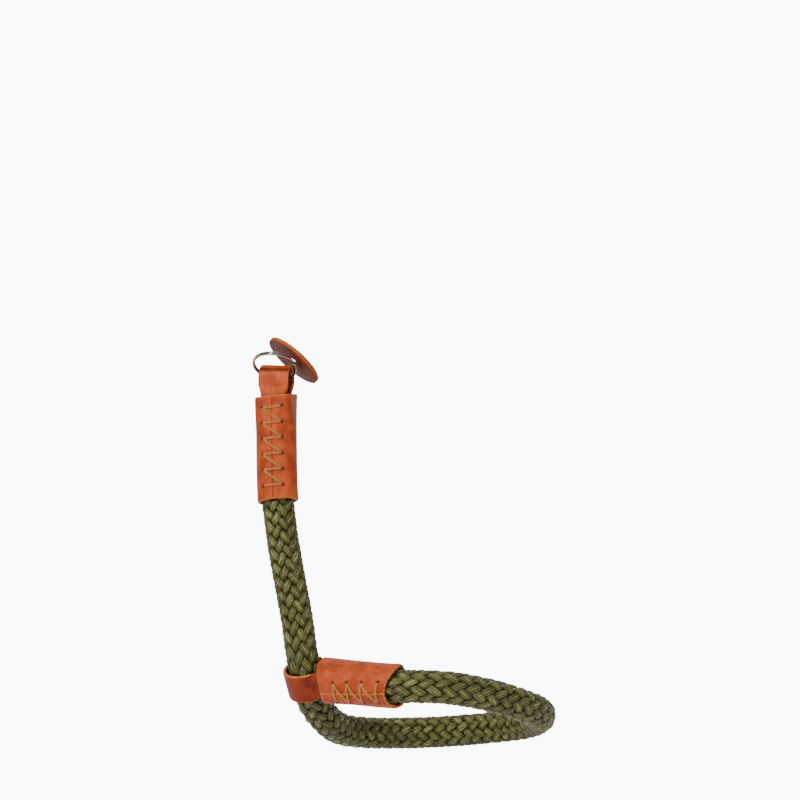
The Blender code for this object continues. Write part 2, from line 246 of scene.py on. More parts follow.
def braid():
    """Every pick of the braid: its points, quads, place along the yarns, and its tone with painted
    highlight and painted shade.
    """
    points, faces, uvs, tones_and_painted_light = [], [], [], []
    yarn_places = [yarn + place for yarn in range(YARNS) for place in YARN_POINTS] + [YARNS]
    along = np.linspace(-1, 1, PICK_STEPS)[:, None]
    across = np.array([place / YARNS * 2 - 1 for place in yarn_places])[None, :]
    in_yarn = (across + 1) / 2 * YARNS
    in_yarn = in_yarn - np.minimum(np.floor(in_yarn), YARNS - 1)
    hump = np.sqrt(np.clip(1 - (2 * in_yarn - 1) ** 2, 0, 1))
    fall = PICK_DROP * np.abs(along) ** PICK_DROP_POWER + PICK_CROWN * across**2
    ahead = along * PICK_HALF_LENGTH
    rows = int((rope_end - rope_start) / PICK_PITCH)
    count = 0
    for column in range(BRAID_COLUMNS):
        lean = -1 if column % 2 else 1
        middle = (column + 0.5) * column_turn
        shift = PICK_PITCH / 2 if column % 2 else 0
        for row in range(rows + 1):
            jitter = random.normal(0, 1, 4)
            centre = rope_start + shift + row * PICK_PITCH + PLACE_VARIES * jitter[1]
            width = STRAND_HALF_WIDTH * (1 + WIDTH_VARIES * jitter[0])
            side = across * width * (1 - PICK_TIP_SLIMMING * along**4)
            distance = centre + cos(PICK_LEAN) * ahead - lean * sin(PICK_LEAN) * side
            distance = np.clip(distance, rope_start, rope_end)
            turn = lean * sin(PICK_LEAN) * ahead + cos(PICK_LEAN) * side
            angle = middle + (turn + TURN_VARIES * jitter[2]) / (ROPE_DIAMETER / 2)
            crest = YARN_HEIGHT * hump * (1 + YARN_HEIGHT_VARIES * jitter[3])
            radius = np.maximum(PICK_CREST - YARN_HEIGHT - fall + crest, LEAST_RADIUS)
            points.append(strap_line.round(distance, angle, radius).reshape(-1, 3))
            faces += grid_faces(PICK_STEPS, len(yarn_places), count)
            u = (across * 0.5 + 0.5) + 0 * along
            v = (ahead + random.uniform(0, FILAMENT_SHIFT)) / FILAMENT_SPAN + 0 * across
            uvs.append(np.stack([u, v], axis=-1).reshape(-1, 2))
            # Each pick's tone: a random base, a painted highlight on its yarns' crests, and painted shade
            # towards its ends and sides.
            base = random.uniform(LEAST_TONE, MOST_TONE)
            shade = END_SHADE * along**4 + SIDE_SHADE * across**4
            tones_and_painted_light.append((base + CREST_PAINTED_HIGHLIGHT * (hump - CREST_FROM) - shade).ravel())
            count += u.size
    core_steps = np.linspace(rope_start, rope_end, CORE_ROWS)
    core_turns = np.arange(CORE_SIDES) * 2 * pi / CORE_SIDES
    distance, angle = np.meshgrid(core_steps, core_turns, indexing="ij")
    radius = np.full(distance.shape, CORE_RADIUS)
    points.append(strap_line.round(distance, angle, radius).reshape(-1, 3))
    faces += grid_faces(CORE_ROWS, CORE_SIDES, count, closed=True)
    uvs.append(np.zeros((distance.size, 2)))
    # The core has no tone, so where it shows between the picks it takes the darkest colour, as painted
    # shade.
    tones_and_painted_light.append(np.zeros(distance.size))
    return np.vstack(points), faces, np.vstack(uvs), np.concatenate(tones_and_painted_light)


rope_points, rope_faces, rope_uvs, rope_tones_and_painted_light = braid()
rope_piece = new_piece("braided_rope", rope_points, rope_faces, rope_uvs, {"tone_and_painted_light": rope_tones_and_painted_light})
outward(rope_piece)


def new_material(name):
    """A material with its Principled shader, and a function that adds nodes to it."""
    made = bpy.data.materials.new(name)
    made.use_nodes = True
    nodes, links = made.node_tree.nodes, made.node_tree.links
    shader = nodes["Principled BSDF"]

    def add(kind, inputs=None, **settings):
        node = nodes.new("ShaderNode" + kind)
        for key, value in settings.items():
            setattr(node, key, value)
        for key, value in (inputs or {}).items():
            if isinstance(value, bpy.types.NodeSocket):
                links.new(value, node.inputs[key])
            else:
                node.inputs[key].default_value = value
        return node

    def join(output, target):
        links.new(output, shader.inputs[target])

    return made, shader, add, join


def colour(red, green, blue):
    """An sRGB colour, 0 to 255, as linear light, by the upper part of the sRGB curve."""
    return (*[((value / 255 + 0.055) / 1.055) ** 2.4 for value in (red, green, blue)], 1)


def ramp(add, factor, *stops):
    """A colour ramp with (place, colour) stops."""
    node = add("ValToRGB", {"Fac": factor})
    stops_made = node.color_ramp.elements
    while len(stops_made) < len(stops):
        stops_made.new(0.5)
    for stop, (place, tint) in zip(stops_made, stops):
        stop.position = place
        stop.color = tint
    return node.outputs["Color"]


def green_yarn():
    """Glossy olive yarn: fine filaments along each yarn, with painted shade between the yarns and at their
    ends and a painted highlight on their crests.
    """
    made, shader, add, join = new_material("green_yarn")
    place = add("UVMap", uv_map="along").outputs["UV"]
    parts = add("SeparateXYZ", {"Vector": place})
    twisted = add("Math", {0: parts.outputs["Y"], 1: FILAMENT_TWIST}, operation="MULTIPLY").outputs[0]
    filament_place = add("Math", {0: parts.outputs["X"], 1: twisted}, operation="ADD").outputs[0]
    spread = add("CombineXYZ", {"X": filament_place, "Y": parts.outputs["Y"]}).outputs["Vector"]
    stretched = add("Mapping", {"Vector": spread, "Scale": FILAMENT_STRETCH}).outputs["Vector"]
    filament = add("TexNoise", {"Vector": stretched, "Scale": 1.0, "Detail": 3.0, "Roughness": 0.6})
    tone_and_painted_light = add("Attribute", attribute_name="tone_and_painted_light").outputs["Fac"]
    mixed = add("Math", {0: filament.outputs["Fac"], 1: tone_and_painted_light}, operation="ADD").outputs[0]
    level = add("Math", {0: mixed, 1: 0.5}, operation="MULTIPLY").outputs[0]
    # The ramp's pale top stop is the colour of the painted highlight on the crests, and its lowest stops
    # are the painted shade.
    tint = ramp(
        add,
        level,
        (0.34, colour(13, 13, 0)),
        (0.45, colour(40, 40, 4)),
        (0.54, colour(71, 72, 18)),
        (0.62, colour(206, 202, 134)),
    )
    join(tint, "Base Color")
    shader.inputs["Roughness"].default_value = 0.3
    shader.inputs["Specular IOR Level"].default_value = 0.6
    shader.inputs["Specular Tint"].default_value = colour(248, 243, 202)
    shader.inputs["Sheen Weight"].default_value = 0.04
    shader.inputs["Sheen Roughness"].default_value = 0.4
    shader.inputs["Sheen Tint"].default_value = colour(170, 178, 110)
    bump = add("Bump", {"Height": filament.outputs["Fac"], "Strength": 0.8, "Distance": 0.0003})
    join(bump.outputs["Normal"], "Normal")
    return made


rope_piece.data.materials.append(green_yarn())
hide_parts("rope")
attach(rope_piece, "strap")


# Split ring: two turns of springy flattened nickel-plated wire, pressed into one coil.
# It steps from one turn to the other near the washer, with a blunt end on either side of the step.
RING_RADIUS = 0.0083
RING_WIRE_WIDTH = 0.0011
RING_WIRE_HEIGHT = 0.00075
RING_TURN_GAP = 0.00006
RING_STEP_AT = radians(38)
RING_STEP_HALF = radians(20)
RING_END_PAST_STEP = 1.25
RING_END_ROUND = 0.0004
RING_END_SLIMMING = 0.4
RING_WIRE_SQUARENESS = 0.9
RING_RISE = radians(36)
RING_SAMPLES = 300
RING_SIDES = 20
UPPER_TURNED = radians(-15)

ring_right = Vector((cos(UPPER_TURNED), sin(UPPER_TURNED), 0))
towards_viewer = Vector((sin(UPPER_TURNED), -cos(UPPER_TURNED), 0))
ring_up = cos(RING_RISE) * towards_viewer + sin(RING_RISE) * Vector((0, 0, 1))
ring_frame = Matrix((ring_right, ring_up, ring_right.cross(ring_up))).transposed().to_4x4()
ring_frame.translation = -RING_RADIUS * ring_right


def wire_reach(wave, size):
    """How far the wire's skin lies from its middle, one way, for a slightly squared section."""
    return abs(wave) ** RING_WIRE_SQUARENESS * (1 if wave > 0 else -1) * size / 2


def ring_wire():
    """The coil's points, ring by ring round the wire, and its faces with both blunt ends closed."""
    points = []
    first = -2 * pi + RING_STEP_HALF * RING_END_PAST_STEP
    lift = (RING_WIRE_HEIGHT + RING_TURN_GAP) / 2
    end_round = RING_END_ROUND / RING_RADIUS
    for i in range(RING_SAMPLES + 1):
        angle = first * (1 - 2 * i / RING_SAMPLES)
        step = min(max(angle / RING_STEP_HALF, -1), 1)
        height = lift * sin(step * pi / 2)
        around = RING_STEP_AT + angle
        to_end = (abs(first) - abs(angle)) / end_round
        full = sqrt(max(1 - max(1 - to_end, 0) ** 2, 0.0))
        slim = 1 - RING_END_SLIMMING * (1 - full)
        for side in range(RING_SIDES):
            turn = 2 * pi * side / RING_SIDES
            radius = RING_RADIUS + wire_reach(cos(turn), RING_WIRE_WIDTH) * slim
            up = height + wire_reach(sin(turn), RING_WIRE_HEIGHT) * slim
            points.append(ring_frame @ Vector((radius * cos(around), radius * sin(around), up)))
    faces = grid_faces(RING_SAMPLES + 1, RING_SIDES, closed=True)
    faces.append(list(range(RING_SIDES)))
    faces.append([RING_SAMPLES * RING_SIDES + side for side in reversed(range(RING_SIDES))])
    return points, faces


ring_piece = new_piece("split_ring_wire", *ring_wire())
outward(ring_piece)


def bright_nickel():
    """Polished nickel plate with faint rub marks and a little tarnish."""
    made, shader, add, join = new_material("bright_nickel")
    place = add("TexCoord").outputs["Object"]
    rub = add("TexNoise", {"Vector": place, "Scale": 900.0, "Detail": 4.0, "Roughness": 0.65})
    tint = ramp(add, rub.outputs["Fac"], (0.3, colour(96, 88, 80)), (0.6, colour(160, 152, 142)))
    join(tint, "Base Color")
    dullness = add("MapRange", {"Value": rub.outputs["Fac"], "To Min": 0.08, "To Max": 0.2})
    join(dullness.outputs["Result"], "Roughness")
    shader.inputs["Metallic"].default_value = 1.0
    bump = add("Bump", {"Height": rub.outputs["Fac"], "Strength": 0.08, "Distance": 0.0002})
    join(bump.outputs["Normal"], "Normal")
    return made


ring_piece.data.materials.append(bright_nickel())
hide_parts("split_ring")
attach(ring_piece, "ring")


# Bumper disc: a washer punched from vegetable-tanned leather, dyed on its faces only.
# A slit from its hole to its edge lets it slip over the ring, and its cut edge stays pale.
DISC_DIAMETER = 0.0246
DISC_THICKNESS = 0.0016
DISC_HOLE = 0.0056
DISC_SLIT = 0.0006
DISC_BEHIND_RING = 0.0011
DISC_FACING = Vector((-0.638, -0.286, -0.715)).normalized()
DISC_SHIFT = Vector((-0.0007, 0, 0.0023))
DISC_SLIT_TOWARDS = Vector((0.7, 0, -0.7))
DISC_EDGE_ROUND = 0.00035
DISC_EDGE_STEPS = 7
DISC_FACE_SHARES = (0.15, 0.3, 0.45, 0.6, 0.75, 0.88)
DISC_AROUND = 160
DISC_WAVE = 0.00006
DISC_WAVES = 3
DISC_WAVE_START = 1
EDGE_FIBRE_DARKNESS = 0.55

ring_axes = ring_frame.to_3x3()
ring_reach = abs(ring_axes.col[0].dot(DISC_FACING)) * RING_WIRE_WIDTH / 2
ring_reach += abs(ring_axes.col[2].dot(DISC_FACING)) * (RING_WIRE_HEIGHT + RING_TURN_GAP / 2)
disc_behind = ring_reach + DISC_BEHIND_RING + DISC_THICKNESS / 2
disc_centre = DISC_SHIFT.copy()
disc_centre.y = -(disc_behind + disc_centre.dot(DISC_FACING)) / DISC_FACING.y
slit_way = (DISC_SLIT_TOWARDS - DISC_SLIT_TOWARDS.dot(DISC_FACING) * DISC_FACING).normalized()
disc_frame = Matrix((slit_way, DISC_FACING.cross(slit_way), DISC_FACING)).transposed().to_4x4()
disc_frame.translation = disc_centre


def disc_edge(radius, sign):
    """The cut edge at this radius, rounded into both faces, from the front face to the back one."""
    half = DISC_THICKNESS / 2
    turns = np.linspace(0, pi / 2, DISC_EDGE_STEPS)
    insets = [(DISC_EDGE_ROUND * (1 - sin(turn)), DISC_EDGE_ROUND * (1 - cos(turn))) for turn in turns]
    front = [(radius - sign * across, half - down) for across, down in insets]
    back = [(radius - sign * across, down - half) for across, down in reversed(insets)]
    return front + back


def disc_section():
    """(radius, height) round the washer's section: outer edge, back face, hole's edge, front face."""
    inner, outer = DISC_HOLE / 2, DISC_DIAMETER / 2
    face = [outer + (inner - outer) * share for share in DISC_FACE_SHARES]
    back = [(radius, -DISC_THICKNESS / 2) for radius in face]
    front = [(radius, DISC_THICKNESS / 2) for radius in reversed(face)]
    return disc_edge(outer, 1) + back + disc_edge(inner, -1)[::-1] + front


def washer():
    """The washer as a bent bar whose two ends face each other across the slit."""
    section = disc_section()
    points, marks = [], []
    for i in range(DISC_AROUND + 1):
        share = i / DISC_AROUND
        for radius, height in section:
            gap = asin(DISC_SLIT / 2 / radius)
            angle = gap + (2 * pi - 2 * gap) * share
            up = height + DISC_WAVE * sin(DISC_WAVES * angle + DISC_WAVE_START) * radius / DISC_DIAMETER
            points.append(disc_frame @ Vector((radius * cos(angle), radius * sin(angle), up)))
            from_edge = min(radius - DISC_HOLE / 2, DISC_DIAMETER / 2 - radius)
            marks.append(1.0 if from_edge < DISC_EDGE_ROUND / 2 or i in (0, DISC_AROUND) else 0.0)
    faces = grid_faces(DISC_AROUND + 1, len(section), closed=True)
    last = DISC_AROUND * len(section)
    faces.append(list(range(len(section))))
    faces.append([last + i for i in reversed(range(len(section)))])
    return points, faces, marks


disc_points, disc_faces, disc_marks = washer()
disc_piece = new_piece("leather_washer", disc_points, disc_faces, marks={"edge": disc_marks})
outward(disc_piece)


def dyed_leather(name, dark, middle, light, edge, gloss):
    """Smooth dyed leather: mottled colour, fine grain and scuffs; its cut edge is pale and fibrous, and
    its stitch holes are painted dark as shade.
    """
    made, shader, add, join = new_material(name)
    place = add("TexCoord").outputs["Object"]
    cloud = add("TexNoise", {"Vector": place, "Scale": 170.0, "Detail": 6.0, "Roughness": 0.62})
    fine = add("TexNoise", {"Vector": place, "Scale": 2600.0, "Detail": 3.0, "Roughness": 0.6})
    fibre = add("TexNoise", {"Vector": place, "Scale": 1500.0, "Detail": 5.0, "Roughness": 0.7})
    grain = add("TexVoronoi", {"Vector": place, "Scale": 1900.0}, feature="DISTANCE_TO_EDGE")
    crease = ramp(add, grain.outputs["Distance"], (0.0, (0, 0, 0, 1)), (0.12, (1, 1, 1, 1)))
    mottle = add(
        "Math", {0: fine.outputs["Fac"], 1: 0.35, 2: cloud.outputs["Fac"]}, operation="MULTIPLY_ADD"
    ).outputs[0]
    face_tint = ramp(add, mottle, (0.48, dark), (0.66, middle), (0.86, light))
    edge_dark = tuple(value * EDGE_FIBRE_DARKNESS for value in edge[:3]) + (1,)
    edge_tint = ramp(add, fibre.outputs["Fac"], (0.35, edge_dark), (0.62, edge))
    mark = add("Attribute", attribute_name="edge").outputs["Fac"]
    blended = add("Mix", {"Factor": mark, 6: face_tint, 7: edge_tint}, data_type="RGBA").outputs[2]
    hole = add("Attribute", attribute_name="hole").outputs["Fac"]
    # The stitch holes are only dents, so the dark colour in them is painted shade.
    painted_hole_shade = add("Mix", {"Factor": hole, 6: blended, 7: colour(38, 16, 10)}, data_type="RGBA").outputs[2]
    join(painted_hole_shade, "Base Color")
    smoothest, dullest = gloss - 0.08, gloss + 0.12
    dullness = add(
        "MapRange",
        {"Value": mottle, "From Min": 0.4, "From Max": 0.9, "To Min": smoothest, "To Max": dullest},
    ).outputs["Result"]
    rough = add("Mix", {"Factor": mark, 2: dullness, 3: 0.85}, data_type="FLOAT").outputs[0]
    join(rough, "Roughness")
    shader.inputs["Specular IOR Level"].default_value = 0.16
    relief = add("Math", {0: crease, 1: 0.5, 2: fine.outputs["Fac"]}, operation="MULTIPLY_ADD").outputs[0]
    bump = add("Bump", {"Height": relief, "Strength": 0.35, "Distance": 0.00012})
    join(bump.outputs["Normal"], "Normal")
    return made


RAW_EDGE = colour(200, 128, 62)
disc_leather = dyed_leather(
    "disc_leather", colour(50, 12, 2), colour(92, 30, 8), colour(124, 46, 16), colour(158, 78, 30), 0.5
)
disc_piece.data.materials.append(disc_leather)
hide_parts("bumper_disc")
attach(disc_piece, "ring")


# Upper sleeve: one sheet of tan leather rolled round the rope's end, its edges laced in front.
# Its mouth is squarish where it holds the ring's tab, and its other end grips the round rope.
LEATHER = 0.0014
STRIP_GAP = 0.0008
UPPER_MOUTH = 0.0072
UPPER_LENGTH = 0.0419
UPPER_MOUTH_HALF = 0.00735
UPPER_STRIP_BEND = 0.0005
UPPER_ROPE_GAP = 0.0004
UPPER_MOUTH_SLANT = 0.12
UPPER_BOWS = (0.0, 0.0)
UPPER_SEAM_SHIFTS = (0.0005, 0.0005)
UPPER_HOLE_REACH = 0.0039
UPPER_LEG = 0.012
SQUARE_STRETCH = 0.016
SEAM_GAP = 0.00006
SLEEVE_SIDES = 108
SLEEVE_STEP = 0.00045
UPPER_FIRST_HOLE = 0.0119
UPPER_HOLE_PITCH = 0.00635
UPPER_HOLE_PAIRS = 6
UPPER_HOLES = tuple(UPPER_FIRST_HOLE + UPPER_HOLE_PITCH * i for i in range(UPPER_HOLE_PAIRS))
HOLE_RADIUS = 0.00066
HOLE_DEPTH = 0.0006
HOLE_DISHING = 1.7
HOLE_PAINTED_SHADE = 1.25
RIM_ROUND = 0.0006
RIM_THINNING = 0.16
RIM_PALE_WIDTH = 0.00032
RIM_PALENESS = 0.55
WELD_WITHIN = 0.0000005


class SleeveAxis:
    """The middle line of a sleeve: a length from its fold, across to its front, and sideways."""

    def __init__(self, line, sideways, from_end=False):
        self.line = line
        self.sideways = np.array(sideways)
        self.from_end = from_end

    def place(self, along, across, side):
        along, across, side = np.broadcast_arrays(
            np.asarray(along, float), np.asarray(across, float), np.asarray(side, float)
        )
        distance = self.line.length - along if self.from_end else along
        heading = self.line.heading(distance) * (-1 if self.from_end else 1)
        sideways = self.sideways - (heading @ self.sideways)[..., None] * heading
        sideways /= np.linalg.norm(sideways, axis=-1)[..., None]
        front = np.cross(heading, sideways)
        return self.line.at(distance) + across[..., None] * front + side[..., None] * sideways


def rounded_square(half, corner, share):
    """(sideways, front) at a share of the way round a rounded square, from the middle of its front."""
    flat = half - corner
    quarter = 2 * flat + corner * pi / 2
    turned, left = divmod((share % 1) * 4 * quarter, quarter)
    if left < flat:
        point = (left, half)
    elif left < quarter - flat:
        angle = (left - flat) / corner
        point = (flat + corner * sin(angle), flat + corner * cos(angle))
    else:
        point = (half, quarter - left)
    for _ in range(int(turned)):
        point = (point[1], -point[0])
    return point


def sleeve_section(shape, depth):
    """(half, corner) of the middle of a sleeve's wall, at this depth inside its mouth."""
    mouth_half, strip_bend, rope_gap = shape
    round_radius = ROPE_DIAMETER / 2 + rope_gap + LEATHER / 2
    share = min(max(depth / SQUARE_STRETCH, 0), 1)
    share = share * share * (3 - 2 * share)
    half = (mouth_half - LEATHER / 2) * (1 - share) + round_radius * share
    corner = (strip_bend + LEATHER + STRIP_GAP) * (1 - share) + round_radius * share
    return half, corner


def girth_of(half, corner):
    """The way round a rounded square."""
    return 8 * (half - corner) + 2 * pi * corner


def sheet_faces(rows, columns):
    """The faces of a closed sheet and the points of its rim.

    The sheet has rows by columns points on its outer face and as many on its inner one. Its rim has its
    own points after those, once for each face, so that the cut edge is marked apart from the faces.
    """
    count = rows * columns
    faces = grid_faces(rows, columns)
    faces += [[i + count for i in reversed(face)] for face in grid_faces(rows, columns)]
    rim = list(range(columns))
    rim += [row * columns + columns - 1 for row in range(1, rows)]
    rim += [(rows - 1) * columns + i for i in reversed(range(columns - 1))]
    rim += [row * columns for row in reversed(range(1, rows - 1))]
    size = len(rim)
    for i in range(size):
        here = 2 * count + i
        beyond = 2 * count + (i + 1) % size
        faces.append([here, beyond, beyond + size, here + size])
    return faces, rim


def leather_sheet(name, outer, inner, faces, rim, marks, leather_tint):
    """One closed leather piece from the points of its two faces and its rim."""
    points = np.vstack([outer, inner, outer[rim], inner[rim]])
    piece = new_piece(name, points, faces, marks=marks)
    outward(piece, weld=WELD_WITHIN)
    piece.data.materials.append(leather_tint)
    return piece


class Sleeve:
    """A sheet rolled round the rope's end, whose two edges meet in a seam at the front.

    Holes are lengths from the fold, each with one hole on either side of the seam. Bows curve both ends
    of the sheet, slant tilts its mouth, and seam shifts turn the seam at the mouth and at the far end.
    """

    def __init__(self, axis, mouth, length, shape, holes, hole_reach, seam_shifts, bows, slant, raw_seam):
        self.axis = axis
        self.mouth = mouth
        self.length = length
        self.shape = shape
        self.holes = holes
        self.hole_reach = hole_reach
        self.seam_shifts = seam_shifts
        self.bows = bows
        self.slant = slant
        self.raw_seam = raw_seam

    def surface(self, depth, arc, lift):
        """A point at a depth inside the mouth and an arc from the seam, lifted off the wall's middle."""
        half, corner = sleeve_section(self.shape, depth)
        share = depth / self.length
        around = arc + self.seam_shifts[0] * (1 - share) + self.seam_shifts[1] * share
        around /= girth_of(half, corner)
        side, front = rounded_square(half, corner, around)
        lifted_side, lifted_front = rounded_square(half + lift, corner + lift, around)
        lean = self.slant * (1 - share)
        bow = self.bows[0] * (1 - share) - self.bows[1] * share
        cut_back = bow * max(front / half, 0)
        return self.mouth + depth - lean * side + cut_back, lifted_front, lifted_side

    def sheet(self, name, leather_tint):
        """The sleeve's leather piece, dented at its stitch holes with painted shade in them, and pale at
        its cut edges.
        """
        rows = round(self.length / SLEEVE_STEP)
        columns = SLEEVE_SIDES + 1
        outside, inside, marks, holes = [], [], [], []
        for row in range(rows + 1):
            depth = self.length * row / rows
            to_end = min(depth, self.length - depth)
            girth = girth_of(*sleeve_section(self.shape, depth))
            for i in range(columns):
                arc = SEAM_GAP / 2 + (girth - SEAM_GAP) * i / SLEEVE_SIDES
                from_seam = arc if arc < girth / 2 else arc - girth
                beside = abs(from_seam) - self.hole_reach
                nearest = min(hypot(self.mouth + depth - hole, beside) for hole in self.holes)
                dent = max(0.0, 1 - (nearest / (HOLE_DISHING * HOLE_RADIUS)) ** 2) ** 2
                to_rim = min(to_end, abs(from_seam) - SEAM_GAP / 2)
                thinned = LEATHER * RIM_THINNING * max(0.0, 1 - to_rim / RIM_ROUND) ** 2
                outside.append(self.surface(depth, arc, LEATHER / 2 - thinned - HOLE_DEPTH * dent))
                inside.append(self.surface(depth, arc, -LEATHER / 2))
                raw = 1.0 if 0 < -from_seam < self.raw_seam else 0.0
                marks.append(max(raw, RIM_PALENESS * max(0.0, 1 - to_end / RIM_PALE_WIDTH)))
                # Painted shade in each stitch hole, deepest in the middle of its dent.
                holes.append(min(dent * HOLE_PAINTED_SHADE, 1.0))
        outer = self.axis.place(*np.array(outside).T)
        inner = self.axis.place(*np.array(inside).T)
        faces, rim = sheet_faces(rows + 1, columns)
        rim_marks = np.ones(len(rim))
        # A seam without a raw edge is pressed shut, so its two cut edges are not pale.
        if not self.raw_seam:
            rim_marks[columns : columns + rows - 1] = 0
            rim_marks[2 * columns + rows - 1 :] = 0
        edge = np.concatenate([marks, np.zeros(len(inner)), rim_marks, rim_marks])
        painted_hole_shade = np.concatenate([holes, np.zeros(len(inner) + 2 * len(rim))])
        return leather_sheet(name, outer, inner, faces, rim, {"edge": edge, "hole": painted_hole_shade}, leather_tint)


tan_leather = dyed_leather(
    "tan_leather", colour(122, 42, 12), colour(150, 56, 18), colour(176, 76, 30), RAW_EDGE, 0.44
)
upper_axis = SleeveAxis(strap_line, (cos(UPPER_TURNED), sin(UPPER_TURNED), 0))
upper_shape = (UPPER_MOUTH_HALF, UPPER_STRIP_BEND, UPPER_ROPE_GAP)
upper = Sleeve(
    upper_axis,
    mouth=UPPER_MOUTH,
    length=UPPER_LENGTH,
    shape=upper_shape,
    holes=UPPER_HOLES,
    hole_reach=UPPER_HOLE_REACH,
    seam_shifts=UPPER_SEAM_SHIFTS,
    bows=UPPER_BOWS,
    slant=UPPER_MOUTH_SLANT,
    raw_seam=0.0,
)
upper_piece = upper.sheet("upper_sleeve_leather", tan_leather)
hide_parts("upper_sleeve")
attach(upper_piece, "strap")


# Upper lacing: waxed golden thread, laid double, straight across each pair of holes
# and slanting down from each left hole to the next right one, pulled tight over the seam.
THREAD_RADIUS = 0.00025
THREAD_APART = 0.00025
THREAD_CLOSING = 0.35
THREAD_LIFT = 0.00024
THREAD_BOW = 0.00008
THREAD_WAVER = 0.000016
THREAD_WAVES = 5
THREAD_JITTER = 0.00002
THREAD_INSIDE_HOLE = 0.00035
THREAD_SINKS_OVER = 0.0007
THREAD_SINKS_BY = 0.0011
THREAD_STEPS = 22
THREAD_SIDES = 10
THREAD_PLIES = 2
TWISTS_PER_MILLIMETRE = 1.4
MILLIMETRE = 0.001


def lacing(name, sleeve, stitches):
    """Doubled threads between (along, arc) holes of a sleeve, with their ends down in the holes."""
    points, faces, uvs = [], [], []
    turn = np.arange(THREAD_SIDES)[None, :, None] * 2 * pi / THREAD_SIDES
    for hole_from, hole_to in stitches:
        run = np.array(hole_to) - hole_from
        run_length = np.linalg.norm(run)
        beside = np.array([-run[1], run[0]]) / run_length
        for strand in (-1, 1):
            middle = []
            for share in np.linspace(0, 1, THREAD_STEPS):
                to_hole = min(share, 1 - share) * run_length
                sunk = max(0.0, 1 - to_hole / THREAD_SINKS_OVER) ** 2
                waver = THREAD_WAVER * sin(share * pi * THREAD_WAVES + strand)
                slack = waver + THREAD_JITTER * random.normal()
                apart = strand * THREAD_APART * (1 - THREAD_CLOSING * sunk) + slack
                along, arc = np.array(hole_from) + run * share + beside * apart
                lift = LEATHER / 2 + THREAD_LIFT + THREAD_BOW * sin(share * pi) - sunk * THREAD_SINKS_BY
                middle.append(sleeve.surface(along - sleeve.mouth, arc, lift))
            line = sleeve.axis.place(*np.array(middle).T)
            ahead = np.gradient(line, axis=0)
            ahead /= np.linalg.norm(ahead, axis=1)[:, None]
            out = np.cross(ahead, (0, 0, 1))
            out /= np.linalg.norm(out, axis=1)[:, None]
            other = np.cross(ahead, out)
            ring = np.cos(turn) * out[:, None, :] + np.sin(turn) * other[:, None, :]
            count = len(points) * THREAD_STEPS * THREAD_SIDES
            last = count + (THREAD_STEPS - 1) * THREAD_SIDES
            points.append((line[:, None, :] + THREAD_RADIUS * ring).reshape(-1, 3))
            faces += grid_faces(THREAD_STEPS, THREAD_SIDES, count, closed=True)
            faces.append(list(range(count, count + THREAD_SIDES)))
            faces.append(list(range(last, last + THREAD_SIDES)))
            v = np.linspace(0, run_length / MILLIMETRE, THREAD_STEPS)
            u = np.arange(THREAD_SIDES) / THREAD_SIDES
            uvs.append(np.stack(np.meshgrid(u, v), axis=-1).reshape(-1, 2))
    piece = new_piece(name, np.vstack(points), faces, np.vstack(uvs))
    outward(piece)
    return piece


def waxed_thread():
    """Golden waxed thread, two plies twisted together, with painted shade in the grooves between the plies
    and a painted highlight on their crests.
    """
    made, shader, add, join = new_material("waxed_thread")
    place = add("UVMap", uv_map="along").outputs["UV"]
    parts = add("SeparateXYZ", {"Vector": place})
    wound = add(
        "Math",
        {0: parts.outputs["Y"], 1: TWISTS_PER_MILLIMETRE, 2: parts.outputs["X"]},
        operation="MULTIPLY_ADD",
    ).outputs[0]
    turned = add("Math", {0: wound, 1: 2 * pi * THREAD_PLIES}, operation="MULTIPLY").outputs[0]
    ply = add("Math", {0: turned}, operation="SINE").outputs[0]
    level = add("MapRange", {"Value": ply, "From Min": -1.0, "From Max": 1.0}).outputs["Result"]
    # Painted light: the ramp's dark stop is the shade in the grooves between the plies, and its light stop
    # is the highlight on their crests.
    tint = ramp(
        add,
        level,
        (0.0, colour(96, 42, 8)),
        (0.5, colour(160, 88, 24)),
        (1.0, colour(214, 144, 62)),
    )
    join(tint, "Base Color")
    shader.inputs["Roughness"].default_value = 0.45
    bump = add("Bump", {"Height": level, "Strength": 0.6, "Distance": 0.00012})
    join(bump.outputs["Normal"], "Normal")
    return made


thread_finish = waxed_thread()


def stitches_between(holes, hole_reach, start_side):
    """Straight stitches across each pair of holes and slanting ones to the next pair."""
    reach = hole_reach - THREAD_INSIDE_HOLE
    here, there = start_side * reach, -start_side * reach
    straight = [((along, here), (along, there)) for along in holes]
    slanting = [((along, here), (beyond, there)) for along, beyond in zip(holes, holes[1:])]
    return slanting + straight


upper_lacing = lacing("upper_lacing", upper, stitches_between(UPPER_HOLES, UPPER_HOLE_REACH, -1))
upper_lacing.data.materials.append(thread_finish)
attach(upper_lacing, "strap")


# Ring tab: a strip of the same leather folded over the ring, with both its legs
# tucked in the sleeve's mouth, one against the front and one against the back.
TAB_WIDTH = 0.0121
TAB_OFF_RING = -0.0009
FOLD_GAP = 0.0009
LEG_EASE = 0.001
LEAST_CURL = 0.02
TAB_CURL_EASE = 2.2
STRIP_THINNING = 0.14
STRIP_PALE_WIDTH = 0.0003
STRIP_COLUMNS = 30
FOLD_ROWS = 60
LEG_ROWS = 34


